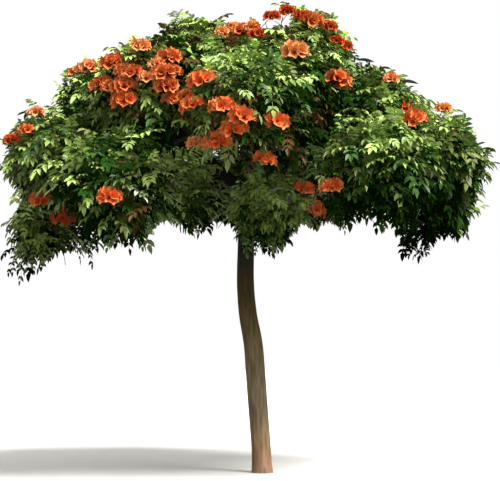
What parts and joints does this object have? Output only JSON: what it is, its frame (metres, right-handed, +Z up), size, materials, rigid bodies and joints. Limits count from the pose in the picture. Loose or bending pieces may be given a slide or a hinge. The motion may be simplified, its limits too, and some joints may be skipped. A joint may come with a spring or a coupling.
{
  "type": "african tulip tree",
  "caption": "Flowering tree with one slender, slightly leaning trunk under a wide, dense umbrella of drooping pinnate leaves, with orange-red flower heads standing on top.",
  "frame": {"origin": "middle of the flat cut under the trunk, at ground level", "axes": "+Z straight up from the level ground, +X to the right as the picture shows the tree, -Y towards the viewer"},
  "size_m": [8.0102, 7.8659, 7.1126],
  "materials": {
    "bark": "rough, finely furrowed grey-brown bark",
    "foliage": "satin green leaves with orange-red blossom on brown-green buds"
  },
  "bodies": {
    "root": {"trunk": "bark", "top_1_bough": "bark", "top_2_bough": "bark", "top_3_bough": "bark", "top_4_bough": "bark", "shoulder_1_bough": "bark", "shoulder_2_bough": "bark", "shoulder_3_bough": "bark", "shoulder_4_bough": "bark", "shoulder_5_bough": "bark", "shoulder_6_bough": "bark", "shoulder_7_bough": "bark", "rim_1_bough": "bark", "rim_2_bough": "bark", "rim_3_bough": "bark", "rim_4_bough": "bark", "rim_5_bough": "bark", "rim_6_bough": "bark", "rim_7_bough": "bark", "rim_8_bough": "bark", "rim_9_bough": "bark", "rim_10_bough": "bark", "skirt_1_bough": "bark", "skirt_2_bough": "bark", "skirt_3_bough": "bark", "skirt_4_bough": "bark", "top_1_foliage": "foliage", "top_2_foliage": "foliage", "top_3_foliage": "foliage", "top_4_foliage": "foliage", "shoulder_1_foliage": "foliage", "shoulder_2_foliage": "foliage", "shoulder_3_foliage": "foliage", "shoulder_4_foliage": "foliage", "shoulder_5_foliage": "foliage", "shoulder_6_foliage": "foliage", "shoulder_7_foliage": "foliage", "rim_1_foliage": "foliage", "rim_2_foliage": "foliage", "rim_3_foliage": "foliage", "rim_4_foliage": "foliage", "rim_5_foliage": "foliage", "rim_6_foliage": "foliage", "rim_7_foliage": "foliage", "rim_8_foliage": "foliage", "rim_9_foliage": "foliage", "rim_10_foliage": "foliage", "skirt_1_foliage": "foliage", "skirt_2_foliage": "foliage", "skirt_3_foliage": "foliage", "skirt_4_foliage": "foliage"}
  },
  "joints": []
}
